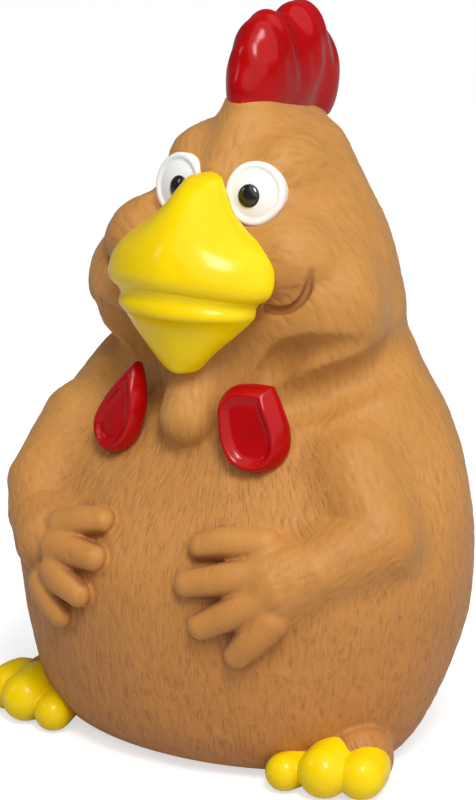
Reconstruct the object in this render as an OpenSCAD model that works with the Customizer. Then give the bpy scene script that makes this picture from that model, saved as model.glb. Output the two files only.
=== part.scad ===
// Squeeze-toy hen: a hollow rubber moulding with raised painted features and
// a squeaker plugged into its base. Millimetres, +Z up, the hen faces -Y and
// its left side is +X. The origin is the middle of the outline's underside.

/* [Overall] */
// Height from the base to the top of the comb's pedestal
head_height = 130.5; // [105:0.5:160]
// Greatest width of the belly
belly_width = 102; // [84:1:124]
// Depth of the belly, front to back, at its fullest
belly_depth = 77; // [63:1:94]
// Thickness of the rubber
wall = 2.2; // [1.6:0.1:3]

/* [Comb] */
// Thickness of the comb, side to side
comb_thickness = 11.6; // [9:0.2:14]
// Length of the comb's root, front to back
comb_length = 27; // [22:0.5:33]
// Height of the comb above its root
comb_height = 19.5; // [15:0.5:24]

/* [Face] */
// Radius of the white of an eye
eye_r = 6.1; // [4.8:0.1:7.4]
// How far the rim of an eye stands out of its socket
eye_proud = 1; // [0.6:0.1:1.6]
// Distance between the middles of the eyes
eye_spacing = 18.8; // [15:0.2:23]
// Radius of a pupil
pupil_r = 2.2; // [1.6:0.1:3]
// Width of the beak at the corners of the mouth
beak_width = 35; // [28:0.5:42]
// How far the beak stands out in front of the face
beak_reach = 15; // [11:0.5:19]
// Length of the beak from the corner of the mouth up to its root
beak_rise = 22; // [18:0.5:26]

/* [Wattles] */
// Length of a wattle from top to bottom
wattle_length = 17.5; // [14:0.5:21]
// Width of a wattle near its bottom
wattle_width = 14; // [11:0.5:17]
// Thickness of a wattle
wattle_thickness = 4.4; // [3.4:0.2:5.4]

/* [Hands] */
// Radius of a finger at its tip
finger_r = 2.5; // [2:0.1:3.2]
// Radius of the forearm
forearm_r = 7; // [5.6:0.2:8.6]

/* [Feet] */
// Radius of a toe
toe_r = 4.7; // [3.8:0.1:5.6]
// Length of the middle toe
toe_length = 13; // [10:0.5:16]
// Distance between the middles of the feet
foot_spacing = 72; // [60:1:84]

/* [Squeaker] */
// Outer radius of the squeaker's cup
cup_r = 9; // [7.5:0.1:11]
// Height of the squeaker's cup
cup_height = 11; // [9:0.5:14]
// Thickness of the cup's plastic
cup_wall = 1.2; // [0.9:0.1:1.6]
// Radius of the sound hole in the cup's floor
sound_hole_r = 2; // [1.4:0.1:2.6]
// Thickness of the reed
reed_thickness = 0.3; // [0.2:0.05:0.4]

/* [Hidden] */

brown = [0.72, 0.47, 0.26];
red = [0.66, 0.02, 0.03];
yellow = [0.97, 0.86, 0.04];
white = [0.93, 0.93, 0.91];
black = [0.08, 0.07, 0.06];
plastic = [0.9, 0.9, 0.86];
film = [0.8, 0.86, 0.88];

// Clearance between a raised feature and its seat in the skin
seat_gap = 0.3;
// Clearance between two plastic pieces of the squeaker
plastic_gap = 0.1;
// How much rubber backs a seat
backing = 1.8;

// Facets on the lofted skin, on the ball ends of hulls and on turned pieces
ring_points = 40;
rings_per_span = 2;
ball_fn = 12;
turned_fn = 48;
face_fn = 24;
root_fn = 20;

// The hen's outline: share of head_height, half width as a share of
// belly_width, and the front and back as shares of belly_depth.
outline = [
    [0.000, 0.355, -0.332, 0.265],
    [0.022, 0.398, -0.402, 0.310],
    [0.080, 0.442, -0.470, 0.395],
    [0.200, 0.484, -0.510, 0.485],
    [0.320, 0.500, -0.500, 0.470],
    [0.430, 0.478, -0.370, 0.425],
    [0.525, 0.420, -0.255, 0.410],
    [0.615, 0.335, -0.215, 0.405],
    [0.705, 0.300, -0.225, 0.410],
    [0.795, 0.268, -0.195, 0.392],
    [0.875, 0.208, -0.135, 0.365],
    [0.935, 0.150, -0.035, 0.342],
    [0.975, 0.088, 0.000, 0.338],
    [1.000, 0.078, 0.004, 0.336]];
last = len(outline) - 1;

// Smooth value of column c at t spans along the outline
function at(i, c) = outline[max(0, min(last, i))][c];
function curve(t, c) =
    let (i = min(last - 1, floor(t)), u = t - i,
         p0 = at(i - 1, c), p1 = at(i, c), p2 = at(i + 1, c), p3 = at(i + 2, c))
    0.5 * (2 * p1 + (p2 - p0) * u + (2 * p0 - 5 * p1 + 4 * p2 - p3) * u ^ 2
           + (3 * p1 - p0 - 3 * p2 + p3) * u ^ 3);

// Spans along the outline at height z
function span_at(z, i = 0) =
    i >= last - 1 || at(i + 1, 0) * head_height >= z
        ? i + (z / head_height - at(i, 0)) / (at(i + 1, 0) - at(i, 0))
        : span_at(z, i + 1);
function half_width(z) = belly_width * curve(span_at(z), 1);
function front_y(z) = belly_depth * curve(span_at(z), 2);
function back_y(z) = belly_depth * curve(span_at(z), 3);
function middle_y(z) = (front_y(z) + back_y(z)) / 2;
// Front surface of the skin at a side distance x and a height z
function face_y(x, z) =
    let (share = min(0.98, abs(x) / half_width(z)))
    middle_y(z) - (middle_y(z) - front_y(z)) * sqrt(1 - share ^ 2);

// One ring of the loft, drawn in by inset
function ring(z, inset) =
    let (a = half_width(z) - inset, b = middle_y(z) - front_y(z) - inset)
    [for (k = [0:ring_points - 1])
        let (t = 360 * k / ring_points)
        [a * cos(t), middle_y(z) + b * sin(t), z]];

// Closed loft of the torso and head between two heights
module torso(low_z, high_z, inset) {
    zs = [low_z, for (t = [0:1 / rings_per_span:last])
            let (z = head_height * curve(t, 0))
            if (z > low_z + 0.4 && z < high_z - 0.4) z, high_z];
    n = len(zs);
    points = [for (z = zs) each ring(z, inset)];
    sides = [for (i = [0:n - 2], k = [0:ring_points - 1])
        let (a = i * ring_points + k, b = i * ring_points + (k + 1) % ring_points)
        each [[a, a + ring_points, b], [b, a + ring_points, b + ring_points]]];
    polyhedron(points, concat(
        sides,
        [[for (k = [0:ring_points - 1]) k]],
        [[for (k = [ring_points - 1:-1:0]) (n - 1) * ring_points + k]]));
}

// A chain of balls [x, y, z, r], each hulled to the next and grown by grow
module chain(balls, grow = 0) {
    for (i = [0:len(balls) - 2])
        hull()
            for (b = [balls[i], balls[i + 1]])
                translate([b[0], b[1], b[2]]) sphere(b[3] + grow, $fn = ball_fn);
}

module both_sides() {
    children();
    mirror([1, 0, 0]) children();
}

// Heights and side distances on the outline grow with it
function up(share) = share * head_height;
function out(share) = share * belly_width;
// Ball of radius r at side x and height z, standing out of the front by proud
function on_front(x, z, r, proud) = [x, face_y(x, z) + r - proud, z, r];
function spot(ball) = [ball[0], ball[1], ball[2]];

// ---- Soft relief on the skin ----

eye_x = eye_spacing / 2;
eye_z = up(0.881);
mouth_z = up(0.724);

// Puffed cheeks beside the beak, and the brow over each eye
cheek = on_front(beak_width / 2, up(0.713), 13.5, 5.8);
brow = on_front(eye_x, up(0.889), 9.5, 2);
// Lobe of skin that hangs under the beak
chin = [on_front(0, up(0.61), 7.5, 4.5), on_front(0, up(0.54), 5.5, 5)];

// The puffed face, hulled between cheeks and brows
module face(inset = 0) {
    hull()
        both_sides()
            for (ball = [cheek, brow])
                translate(spot(ball)) sphere(ball[3] - inset, $fn = face_fn);
}

shoulder = on_front(out(0.325), up(0.475), forearm_r + 2.5, 3);
elbow = on_front(out(0.39), up(0.385), forearm_r + 1.4, 5);
wrist = on_front(out(0.305), up(0.34), forearm_r - 1, 4.4);
palm = on_front(out(0.2), up(0.315), forearm_r + 0.5, 3.8);
// Each finger from top to bottom: places of its knuckle and of its tip
fingers = [
    [[0.185, 0.350], [0.088, 0.380]],
    [[0.175, 0.322], [0.084, 0.326]],
    [[0.180, 0.294], [0.122, 0.265]],
    [[0.200, 0.272], [0.191, 0.215]]];
tip_proud = 3;

module arm() {
    chain([shoulder, elbow, wrist, palm]);
    for (f = fingers)
        chain([on_front(out(f[0][0]), up(f[0][1]), finger_r + 0.8, 3.4),
               on_front(out(f[1][0]), up(f[1][1]), finger_r, tip_proud)]);
}

leg_r = 7.5;
// How far the leg's middle lies behind the skin's front
leg_depth = 4.4;
// How far back the leg runs into the body
leg_run = 4;
leg_x = foot_spacing / 2;
leg_y = face_y(leg_x, leg_r) + leg_depth;
module leg() {
    hull()
        for (y = [0, leg_run])
            translate([leg_x, leg_y + y, leg_r]) sphere(leg_r, $fn = ball_fn);
}

// Three short feathers low on the back
tail_z = up(0.36);
tail_r = 5;
tail_reach = 5;
module tail() {
    tip_y = back_y(tail_z) + tail_reach - tail_r;
    for (side = [-1:1])
        hull() {
            translate([0, back_y(tail_z) - 9, tail_z - 10]) sphere(9, $fn = ball_fn);
            translate([side * 6, tip_y - abs(side), tail_z - 2 * abs(side)])
                sphere(tail_r, $fn = ball_fn);
        }
}

// ---- Forms shared by a painted feature and its seat in the skin ----

comb_r = comb_thickness / 2;
comb_y = middle_y(head_height);
// Where the round ends of the comb's root are centred
comb_ends = [comb_y - comb_length / 2 + comb_r, comb_y + comb_length / 2 - comb_r];
pivot_z = head_height - 0.4;
comb_root_r = comb_r - 0.6;
pedestal_rim = 1.5;

// Round root that the comb rocks on, with ball ends
module comb_root(grow = 0) {
    translate([0, 0, pivot_z])
        hull()
            for (y = comb_ends)
                translate([0, y, 0]) sphere(comb_root_r + grow, $fn = root_fn);
}

// Solid pedestal that holds the comb's groove
module pedestal() {
    rim_r = comb_root_r + pedestal_rim;
    hull()
        for (y = comb_ends, step = [[0.1, 0], [6, 0.2], [13, 0.6]])
            translate([0, y, head_height - step[0]])
                cylinder(r = rim_r + step[1], h = 0.1, $fn = 2 * ball_fn);
}

// Beak: balls hulled into one form for each half, cut at the mouth line
beak_y = face_y(0, mouth_z);
beak_root_z = mouth_z + beak_rise;
lip_r = 3;
module upper_beak_form(grow = 0) {
    hull() {
        translate([0, face_y(0, beak_root_z) + 1, beak_root_z - 2])
            sphere(3.4 + grow, $fn = ball_fn);
        translate([0, beak_y - beak_reach * 0.55, mouth_z + 8])
            sphere(6 + grow, $fn = ball_fn);
        both_sides()
            translate([beak_width / 2 - lip_r, face_y(beak_width / 2, mouth_z) - 4,
                       mouth_z + 4])
                sphere(lip_r + grow, $fn = ball_fn);
        both_sides()
            translate([beak_width / 4 - 1, beak_y - beak_reach + lip_r + 2.5, mouth_z + 2.6])
                sphere(lip_r + grow, $fn = ball_fn);
        translate([0, beak_y - beak_reach + lip_r, mouth_z + 2])
            sphere(lip_r + grow, $fn = ball_fn);
    }
}

module lower_beak_form(grow = 0) {
    hull() {
        both_sides()
            translate([beak_width / 2 - lip_r - 1.5, face_y(beak_width / 2, mouth_z) - 3,
                       mouth_z - 1.5])
                sphere(lip_r + grow, $fn = ball_fn);
        both_sides()
            translate([6, beak_y - beak_reach * 0.62, mouth_z - 3])
                sphere(lip_r + grow, $fn = ball_fn);
        translate([0, beak_y - beak_reach * 0.3, mouth_z - 9])
            sphere(4.6 + grow, $fn = ball_fn);
        translate([0, beak_y + 1, mouth_z - 6])
            sphere(4.6 + grow, $fn = ball_fn);
    }
}

// Everything above (side 1) or below (side -1) the mouth line
module half_space(side) {
    reach = belly_width;
    translate([-reach / 2, -reach / 2, side > 0 ? mouth_z : mouth_z - reach])
        cube(reach);
}

// An eye looks outwards from the face; its axis is the local +Z
eye_turn = 12;
eye_tilt = 12;
eye_depth = 3;
// The middle of the eye's rim, just sunk into the brow
eye_y = brow[1] - brow[3] + 0.4;
module at_eye() {
    translate([eye_x, eye_y, eye_z])
        rotate([90 - eye_tilt, 0, eye_turn]) children();
}
module eye_socket() {
    at_eye()
        translate([0, 0, -eye_depth - seat_gap])
            cylinder(r = eye_r + seat_gap, h = 3 * eye_depth, $fn = turned_fn);
}
module eye_backing() {
    at_eye()
        translate([0, 0, -eye_depth - seat_gap - backing])
            cylinder(r = eye_r + seat_gap + backing, h = eye_depth + backing,
                     $fn = turned_fn);
}

// Where the pupil sits on the eye, and how deep it is let in
pupil_offset = [-1.3, -0.6];
pupil_let_in = 0.8;
eye_dome = 1.4;

wattle_top_z = up(0.605);
module wattle_form(grow = 0) {
    top = [14, wattle_top_z - 3];
    low_z = wattle_top_z - wattle_length;
    low_r = wattle_width / 2;
    r = wattle_thickness / 2;
    hull() {
        translate([top[0], face_y(top[0], top[1]) - 3.4, top[1]])
            sphere(r + grow, $fn = ball_fn);
        for (t = [0:60:300]) {
            x = 16.5 + (low_r - r) * cos(t);
            z = low_z + low_r + (low_r - r) * sin(t);
            translate([x, face_y(16.5, low_z + low_r) - 1.4 + abs(x - 16.5) * 0.25, z])
                sphere(r + grow, $fn = ball_fn);
        }
    }
}

// Toes fan out from the ankle; their soles lie on the base plane
toe_fan = 20;
ankle_y = leg_y - 4;
module foot_form(grow = 0) {
    for (toe = [-1:1]) {
        angle = -90 + toe * toe_fan + 4;
        length = toe_length - abs(toe) * 1.5;
        r = toe_r - abs(toe) * 0.3;
        root = [leg_x + toe * toe_r, ankle_y - 1, toe_r, r];
        knuckle = root + [cos(angle), sin(angle), 0, 0] * (length - r) * 0.5
                  + [0, 0, 0.6, 0];
        tip = [root[0] + cos(angle) * (length - r), root[1] + sin(angle) * (length - r),
               r, r];
        chain([root, knuckle, tip], grow);
    }
    for (toe = [-1, 1])
        chain([[leg_x, ankle_y, toe_r + 0.6, toe_r],
               [leg_x + toe * toe_r, ankle_y - 1, toe_r, toe_r]], grow);
}

// ---- The skin ----

base_thickness = 3;
flange_r = cup_r + 1.8;
flange_thickness = 1.2;
flange_z = 0.8;

module relief() {
    face();
    pedestal();
    chain(chin);
    both_sides() {
        arm();
        leg();
    }
    tail();
}

module outer_form() {
    torso(0, head_height, 0);
    relief();
}

module cavity() {
    torso(base_thickness, head_height - 13, wall);
    face(wall);
}

module seats_backing() {
    upper_beak_form(backing);
    lower_beak_form(backing);
    both_sides() {
        eye_backing();
        wattle_form(backing);
        foot_form(backing);
    }
}

module seats() {
    upper_beak_form(seat_gap);
    lower_beak_form(seat_gap);
    comb_root(seat_gap);
    both_sides() {
        eye_socket();
        wattle_form(seat_gap);
        foot_form(seat_gap);
    }
    translate([0, 0, -1])
        cylinder(r = cup_r + plastic_gap, h = base_thickness + 2, $fn = turned_fn);
    translate([0, 0, -1])
        cylinder(r = flange_r + plastic_gap, h = 1 + flange_z + flange_thickness,
                 $fn = turned_fn);
}

module below_base() {
    translate([-belly_width, -belly_width, -belly_width])
        cube([2 * belly_width, 2 * belly_width, belly_width]);
}

// Middle of the outline, front to back, which the origin lies under
front_reach = min([for (f = fingers) face_y(out(f[1][0]), up(f[1][1]))]) - tip_proud;
back_reach = back_y(tail_z) + tail_reach;
module in_frame() {
    translate([0, -(front_reach + back_reach) / 2, 0]) children();
}

module skin() {
    color(brown) in_frame()
        difference() {
            union() {
                difference() {
                    outer_form();
                    cavity();
                }
                intersection() {
                    outer_form();
                    seats_backing();
                }
            }
            seats();
            below_base();
        }
}

// ---- Painted features ----

// Each lobe of the comb: places of its foot and crown along the comb, the
// crown's height as a share of comb_height, and its radius as a share of comb_r
comb_lobes = [[0.16, 0.17, 0.66, 1.02], [0.5, 0.62, 0.68, 1.04], [0.82, 0.98, 0.38, 0.86]];
module comb() {
    color(red) in_frame() {
        comb_root();
        for (lobe = comb_lobes) {
            foot_y = comb_ends[0] + lobe[0] * (comb_ends[1] - comb_ends[0]);
            crown_y = comb_ends[0] + lobe[1] * (comb_ends[1] - comb_ends[0]);
            crown_r = comb_r * lobe[3];
            crown_z = pivot_z + lobe[2] * comb_height;
            chain([[0, foot_y, pivot_z + 1, comb_root_r * 0.9],
                   [0, (foot_y + crown_y) / 2, (pivot_z + crown_z) / 2, comb_r],
                   [0, crown_y, crown_z, crown_r],
                   [0, crown_y + 1, crown_z + comb_r * 0.25, crown_r * 0.86]]);
        }
    }
}

module upper_beak() {
    color(yellow) in_frame()
        difference() {
            intersection() {
                upper_beak_form();
                half_space(1);
            }
            both_sides() eye_socket();
        }
}

module lower_beak() {
    color(yellow) in_frame()
        intersection() {
            lower_beak_form();
            half_space(-1);
        }
}

// White of the eye: a flat-backed disc with a raised rim round a domed middle
module eye() {
    rim = 0.9;
    at_eye()
        difference() {
            rotate_extrude($fn = turned_fn)
                polygon([
                    [0, -eye_depth], [eye_r, -eye_depth], [eye_r, eye_proud - 0.3],
                    [eye_r - 0.3, eye_proud], [eye_r - rim, eye_proud],
                    [eye_r - rim - 0.4, eye_proud - 0.5],
                    for (t = [60:-10:0])
                        [(eye_r - rim - 0.4) * sin(t) / sin(60),
                         eye_proud - 0.5 + eye_dome * (cos(t) - cos(60)) / (1 - cos(60))]]);
            translate([pupil_offset[0], pupil_offset[1], eye_proud - pupil_let_in])
                cylinder(r = pupil_r + plastic_gap, h = 4, $fn = turned_fn);
        }
}

module pupil() {
    dome = 0.7;
    at_eye()
        translate([pupil_offset[0], pupil_offset[1], eye_proud - pupil_let_in])
            rotate_extrude($fn = turned_fn)
                polygon([
                    [0, 0], [pupil_r, 0], [pupil_r, pupil_let_in + 0.4],
                    for (t = [80:-10:0])
                        [pupil_r * sin(t) / sin(80),
                         pupil_let_in + 0.4
                         + dome * (cos(t) - cos(80)) / (1 - cos(80))]]);
}

module left_eye() { color(white) in_frame() eye(); }
module right_eye() { color(white) in_frame() mirror([1, 0, 0]) eye(); }
module left_pupil() { color(black) in_frame() pupil(); }
module right_pupil() { color(black) in_frame() mirror([1, 0, 0]) pupil(); }
module left_wattle() { color(red) in_frame() wattle_form(); }
module right_wattle() { color(red) in_frame() mirror([1, 0, 0]) wattle_form(); }
module left_foot() { color(yellow) in_frame() foot_form(); }
module right_foot() { color(yellow) in_frame() mirror([1, 0, 0]) foot_form(); }

// ---- The squeaker ----

cup_floor_z = flange_z;
cup_top_z = flange_z + cup_height;
bore_r = cup_r - cup_wall;
cap_thickness = 1.2;

module squeaker_cup() {
    barb = 0.7;
    color(plastic) in_frame()
        rotate_extrude($fn = turned_fn)
            polygon([
                [sound_hole_r, cup_floor_z], [flange_r, cup_floor_z],
                [flange_r, cup_floor_z + flange_thickness - plastic_gap],
                [cup_r, cup_floor_z + flange_thickness - plastic_gap],
                [cup_r, base_thickness + plastic_gap],
                [cup_r + barb, base_thickness + plastic_gap],
                [cup_r, base_thickness + plastic_gap + 1.6],
                [cup_r, cup_top_z], [bore_r, cup_top_z],
                [bore_r, cup_floor_z + cup_wall], [sound_hole_r, cup_floor_z + cup_wall]]);
}

// The block stands on the cup's floor; its slot leads air to the sound hole
block_z = cup_floor_z + cup_wall;
block_height = cup_height - cup_wall - cap_thickness - 3.2;
slot_width = 2.4;
reed_width = 3.6;
reed_root_x = -bore_r + 2.1;
reed_length = 10.2;
reed_z = block_z + block_height + 0.5;
clamp_length = 1.1;

module sound_block() {
    color(plastic) in_frame()
        difference() {
            translate([0, 0, block_z])
                cylinder(r = bore_r - plastic_gap, h = block_height, $fn = turned_fn);
            translate([reed_root_x + 3, -slot_width / 2, block_z - 1])
                cube([reed_length - 4.5, slot_width, block_height + 2]);
        }
}

module reed() {
    color(film) in_frame()
        translate([reed_root_x, -reed_width / 2, reed_z])
            cube([reed_length, reed_width, reed_thickness]);
}

// Bridge over the reed's root, standing on the block
module reed_clamp() {
    play = 0.12;
    leg_w = 1.2;
    width = reed_width + 2 * play + 2 * leg_w;
    top_z = reed_z + reed_thickness + play + 0.9;
    color(plastic) in_frame()
        difference() {
            translate([reed_root_x - clamp_length, -width / 2, block_z + block_height])
                cube([2 * clamp_length, width, top_z - block_z - block_height]);
            translate([reed_root_x - play, -reed_width / 2 - play, reed_z - play])
                cube([clamp_length + 1, reed_width + 2 * play,
                      reed_thickness + 2 * play]);
        }
}

module air_cap() {
    hole_r = 0.9;
    color(plastic) in_frame()
        difference() {
            translate([0, 0, cup_top_z - cap_thickness])
                cylinder(r = bore_r - plastic_gap, h = cap_thickness, $fn = turned_fn);
            for (t = [0:60:300])
                rotate(t) translate([bore_r * 0.55, 0, cup_top_z - cap_thickness - 1])
                    cylinder(r = hole_r, h = cap_thickness + 2, $fn = turned_fn / 2);
        }
}

skin();
comb();
upper_beak();
lower_beak();
left_eye();
right_eye();
left_pupil();
right_pupil();
left_wattle();
right_wattle();
left_foot();
right_foot();
squeaker_cup();
sound_block();
reed();
reed_clamp();
air_cap();
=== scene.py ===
import math
from collections import namedtuple

import bpy
import numpy as np
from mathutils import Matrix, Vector
from mathutils.kdtree import KDTree


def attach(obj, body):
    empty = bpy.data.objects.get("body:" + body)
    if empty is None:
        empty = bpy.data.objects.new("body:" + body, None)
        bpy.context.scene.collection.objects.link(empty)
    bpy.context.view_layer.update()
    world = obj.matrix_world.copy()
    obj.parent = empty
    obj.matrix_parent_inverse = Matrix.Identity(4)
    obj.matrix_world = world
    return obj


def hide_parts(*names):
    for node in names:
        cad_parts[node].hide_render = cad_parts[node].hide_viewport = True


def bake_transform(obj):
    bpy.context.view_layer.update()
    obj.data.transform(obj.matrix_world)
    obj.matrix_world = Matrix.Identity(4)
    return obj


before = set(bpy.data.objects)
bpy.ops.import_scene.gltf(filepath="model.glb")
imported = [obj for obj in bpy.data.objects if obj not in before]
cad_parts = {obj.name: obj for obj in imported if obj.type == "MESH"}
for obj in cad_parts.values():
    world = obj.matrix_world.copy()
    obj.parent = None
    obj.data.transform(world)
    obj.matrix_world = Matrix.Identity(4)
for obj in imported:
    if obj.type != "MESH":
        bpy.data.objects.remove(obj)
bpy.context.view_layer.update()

# The looks of a squeeze-toy hen. Shapes are sculpted as signed distances on a
# grid, in millimetres in the frame's own axes, then turned into meshes.

MM = 0.001
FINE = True
SKIN_STEP = 0.5 if FINE else 1.0
PAINT_STEP = 0.36 if FINE else 0.6

# ---- Driving sizes in millimetres ----

HEAD_H, BELLY_W, BELLY_D = 130.5, 102.0, 77.0
# Where the squeaker's upright axis lies along Y
FRAME_Y = 0.747
# Share of the height, half width, front and back of the torso
OUTLINE = np.array([
    [0.000, 0.352, -0.345, 0.245], [0.022, 0.394, -0.415, 0.285],
    [0.080, 0.436, -0.480, 0.375], [0.200, 0.482, -0.512, 0.478],
    [0.320, 0.500, -0.500, 0.470], [0.430, 0.478, -0.370, 0.425],
    [0.525, 0.420, -0.255, 0.410], [0.615, 0.335, -0.215, 0.405],
    [0.705, 0.300, -0.225, 0.410], [0.795, 0.266, -0.195, 0.386],
    [0.875, 0.204, -0.135, 0.354], [0.935, 0.146, -0.035, 0.331],
    [0.975, 0.088, 0.000, 0.338], [1.000, 0.078, 0.004, 0.336]])
EYE_R, PUPIL_R = 6.1, 2.25
MOUTH_Z = 94.5
CUP_R, FLANGE_R = 9.0, 10.8
SEAT_GAP = 0.25


def smooth_path(points, count):
    """Rows along a smooth curve through the given rows."""
    p = np.array(points, float)
    p = np.vstack([2 * p[0] - p[1], p, 2 * p[-1] - p[-2]])
    t = np.linspace(0, len(p) - 3 - 1e-6, count)
    i = t.astype(int)
    u = (t - i)[:, None]
    a, b, c, d = p[i], p[i + 1], p[i + 2], p[i + 3]
    return 0.5 * (2 * b + (c - a) * u + (2 * a - 5 * b + 4 * c - d) * u ** 2
                  + (3 * b - a - 3 * c + d) * u ** 3)


stations = smooth_path(OUTLINE * [HEAD_H, BELLY_W, BELLY_D, BELLY_D], 600)


def half_width(z):
    return np.interp(z, stations[:, 0], stations[:, 1])


def front_y(z):
    return np.interp(z, stations[:, 0], stations[:, 2]) + FRAME_Y


def back_y(z):
    return np.interp(z, stations[:, 0], stations[:, 3]) + FRAME_Y


def face_y(x, z):
    """Front of the torso at a side distance and a height."""
    middle = (front_y(z) + back_y(z)) / 2
    share = np.minimum(0.98, np.abs(x) / half_width(z))
    return middle - (middle - front_y(z)) * np.sqrt(1 - share ** 2)


def on_front(x, z, r, proud):
    """Ball on the torso's front that stands out of it by proud."""
    return [x, float(face_y(x, z)) + r - proud, z, r]


# ---- Sculpting ----

# A signed distance as a function of x, y and z, and the corners of a box round the shape
Shape = namedtuple("Shape", "away low high")


def tube(rows):
    """Round bar through rows of x, y, z and radius."""
    rows = np.array(rows, np.float32)

    def away(x, y, z):
        best = None
        for a, b in zip(rows[:-1], rows[1:]):
            run = b[:3] - a[:3]
            px, py, pz = x - a[0], y - a[1], z - a[2]
            t = np.clip((px * run[0] + py * run[1] + pz * run[2]) / (run @ run), 0, 1)
            d = np.sqrt((px - t * run[0]) ** 2 + (py - t * run[1]) ** 2
                        + (pz - t * run[2]) ** 2) - (a[3] + t * (b[3] - a[3]))
            best = d if best is None else np.minimum(best, d)
        return best

    reach = rows[:, 3:]
    return Shape(away, (rows[:, :3] - reach).min(0), (rows[:, :3] + reach).max(0))


def ellipsoid(middle, radii, lean=0):
    """Ellipsoid leant about X by some degrees."""
    a = math.radians(lean)
    axes = np.array([[1, 0, 0], [0, math.cos(a), math.sin(a)],
                     [0, -math.sin(a), math.cos(a)]], np.float32)

    def away(x, y, z):
        p = [x - middle[0], y - middle[1], z - middle[2]]
        q = [sum(axes[i][k] * p[k] for k in range(3)) / radii[i] for i in range(3)]
        far = np.sqrt(q[0] ** 2 + q[1] ** 2 + q[2] ** 2) + 1e-6
        slope = np.sqrt(sum((q[i] / radii[i]) ** 2 for i in range(3))) + 1e-6
        return far * (far - 1) / slope

    reach = np.full(3, max(radii))
    return Shape(away, np.array(middle) - reach, np.array(middle) + reach)


def mirrored(shape):
    """The same shape on the hen's other side."""
    flip = np.array([-1, 1, 1])
    low, high = np.array(shape.low) * flip, np.array(shape.high) * flip
    return Shape(lambda x, y, z: shape.away(-x, y, z), np.minimum(low, high),
                 np.maximum(low, high))


def smooth_min(a, b, k):
    """The smaller of two distances, rounded where they differ by less than k."""
    h = np.maximum(k - np.abs(a - b), 0) / k
    return np.minimum(a, b) - h * h * k * 0.25


# The corners of a grid's cell, the unit steps along X, Y and Z, and the widest blend
CORNERS = [(dx, dy, dz) for dx in (0, 1) for dy in (0, 1) for dz in (0, 1)]
STEPS = np.eye(3, dtype=int)
WIDEST_BLEND = 7


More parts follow.
